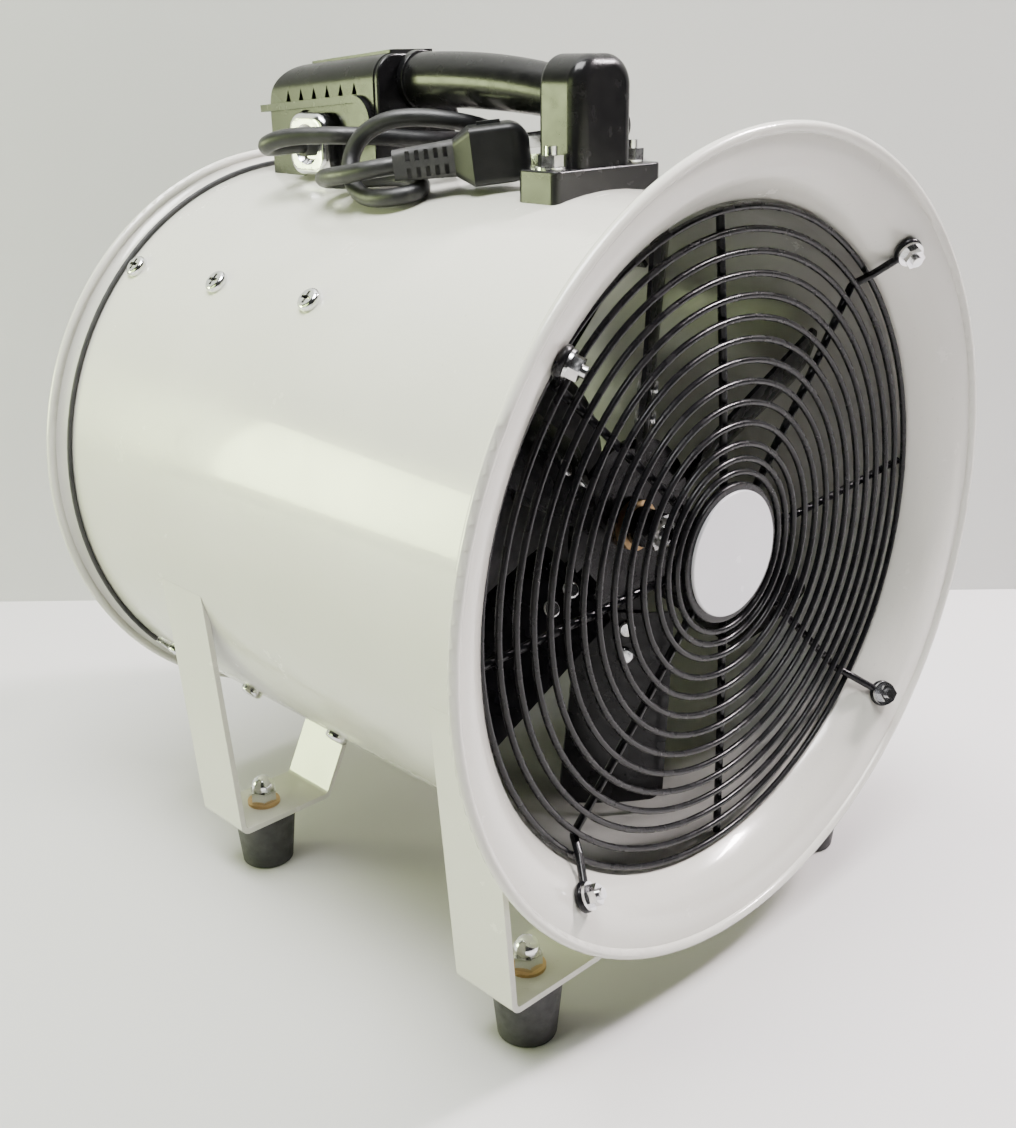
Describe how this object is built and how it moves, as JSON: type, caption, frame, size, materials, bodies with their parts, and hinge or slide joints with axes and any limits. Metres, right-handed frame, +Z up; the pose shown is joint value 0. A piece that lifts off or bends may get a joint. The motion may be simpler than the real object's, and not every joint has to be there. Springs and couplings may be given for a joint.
{
  "type": "axial_blower",
  "caption": "Portable axial blower: painted drum with bell mouth, wire guards, paddle impeller on a motor, carrying handle with a push button, power cord with plug, and rubber feet.",
  "frame": {"origin": "on the floor, midway between the rubber feet's outer sides and midway between the front of the bell mouth and the back of the rear collar", "axes": "+Z up; fan axis along Y, bell mouth on -Y; +X is the right-hand side seen from the bell mouth with Z up, the push button's side"},
  "size_m": [0.375, 0.3534, 0.4252],
  "materials": {
    "cream_paint": "gloss off-white powder paint",
    "black_coating": "gloss black coating",
    "white_badge": "plain white enamel",
    "bright_plating": "bright zinc plating",
    "brass": "dull yellow passivated",
    "cast_cover": "cast, painted dark",
    "bare_steel": "ground",
    "handle_plastic": "satin moulded",
    "plug_plastic": "satin moulded",
    "button_rubber": "soft moulded",
    "rubber_black": "matt moulded"
  },
  "bodies": {
    "casing": {"drum_shell": "cream_paint", "inlet_bell": "cream_paint", "rear_collar": "cream_paint", "foot_bracket_front_left": "cream_paint", "foot_bracket_front_right": "cream_paint", "foot_bracket_rear_left": "cream_paint", "foot_bracket_rear_right": "cream_paint", "collar_seal": "rubber_black", "rubber_feet": "rubber_black", "lead_grommet": "rubber_black", "gland_seal": "rubber_black", "power_cord": "rubber_black", "plug_boot": "rubber_black", "motor_lead": "rubber_black", "plug_body": "plug_plastic", "seal_clip": "bright_plating", "foot_nuts": "bright_plating", "foot_studs": "bright_plating", "guard_bolts": "bright_plating", "guard_washers": "bright_plating", "guard_nuts": "bright_plating", "arm_screws": "bright_plating", "arm_nuts": "bright_plating", "motor_bolts": "bright_plating", "handle_bolts": "bright_plating", "handle_washers": "bright_plating", "handle_nuts": "bright_plating", "cable_gland": "bright_plating", "gland_nut": "bright_plating", "plug_pins": "bright_plating", "foot_washers": "brass", "front_guard_rings": "black_coating", "front_guard_spokes": "black_coating", "guard_centre_plate": "black_coating", "rear_guard_rings": "black_coating", "rear_guard_spokes": "black_coating", "rear_guard_clips": "black_coating", "motor_housing": "black_coating", "motor_arms": "black_coating", "guard_badge": "white_badge", "motor_front_cover": "cast_cover", "motor_rear_cover": "cast_cover", "stator": "bare_steel", "shaft_bearings": "bare_steel", "rear_handle_box": "handle_plastic", "handle_top_cover": "handle_plastic", "grip_collar": "handle_plastic", "handle_grip": "handle_plastic", "front_pedestal": "handle_plastic", "button_bezel": "handle_plastic", "switch_body": "handle_plastic", "run_capacitor": "handle_plastic"},
    "impeller": {"rotor": "bare_steel", "motor_shaft": "bare_steel", "impeller_hub": "black_coating", "impeller_blades": "black_coating", "blade_rivets": "bright_plating", "hub_bush": "brass", "shaft_nut": "bright_plating"},
    "button": {"power_button": "button_rubber"}
  },
  "joints": [
    {"name": "impeller_spin", "type": "hinge", "parent": "casing", "child": "impeller", "pos_m": [0, -0.0985, 0.21], "axis": [0, 1, 0], "continuous": true},
    {"name": "button_push", "type": "slide", "parent": "casing", "child": "button", "axis": [-1, 0, 0], "range_m": [0, 0.0025], "stiffness_N_per_m": 300, "springref_m": -0.003}
  ]
}
